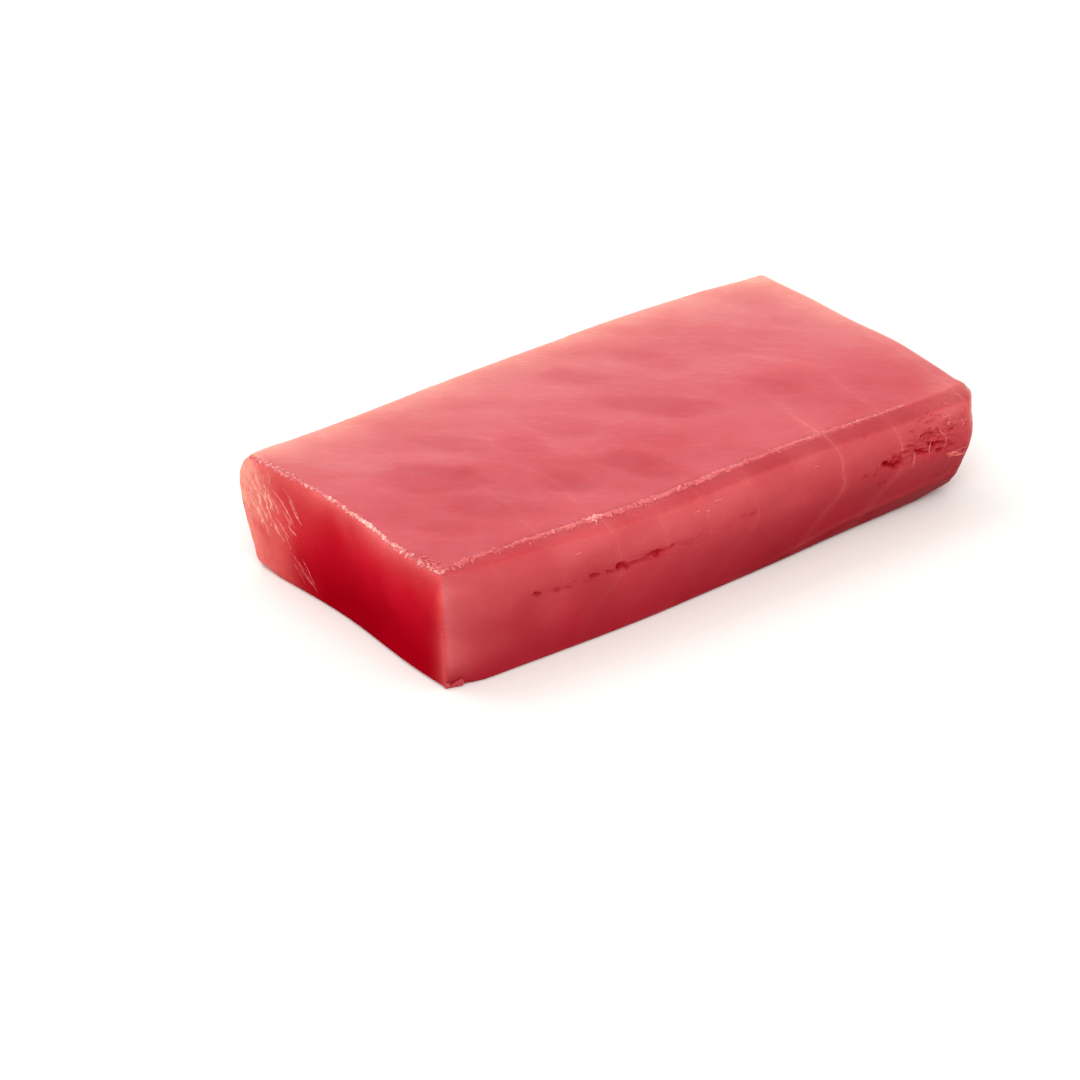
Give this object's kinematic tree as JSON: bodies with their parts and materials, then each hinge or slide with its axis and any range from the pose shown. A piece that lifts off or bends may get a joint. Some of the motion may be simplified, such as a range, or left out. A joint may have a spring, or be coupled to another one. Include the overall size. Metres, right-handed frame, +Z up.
{
  "type": "tuna saku block",
  "caption": "Block of raw tuna loin trimmed square for slicing, lying on its flat underside with a fresh cut across one end.",
  "frame": {"origin": "on the surface that the block lies on, under the middle of its bounding box", "axes": "+X along the block from the cut end to the uncut far end, -Y out of the long side that the picture shows, +Z up"},
  "size_m": [0.1768, 0.0908, 0.0318],
  "materials": {
    "tuna_flesh": "moist raw fish, softly translucent red, paler at thin edges, with fine pale lines of connective tissue"
  },
  "bodies": {
    "root": {"tuna_block": "tuna_flesh"}
  },
  "joints": []
}
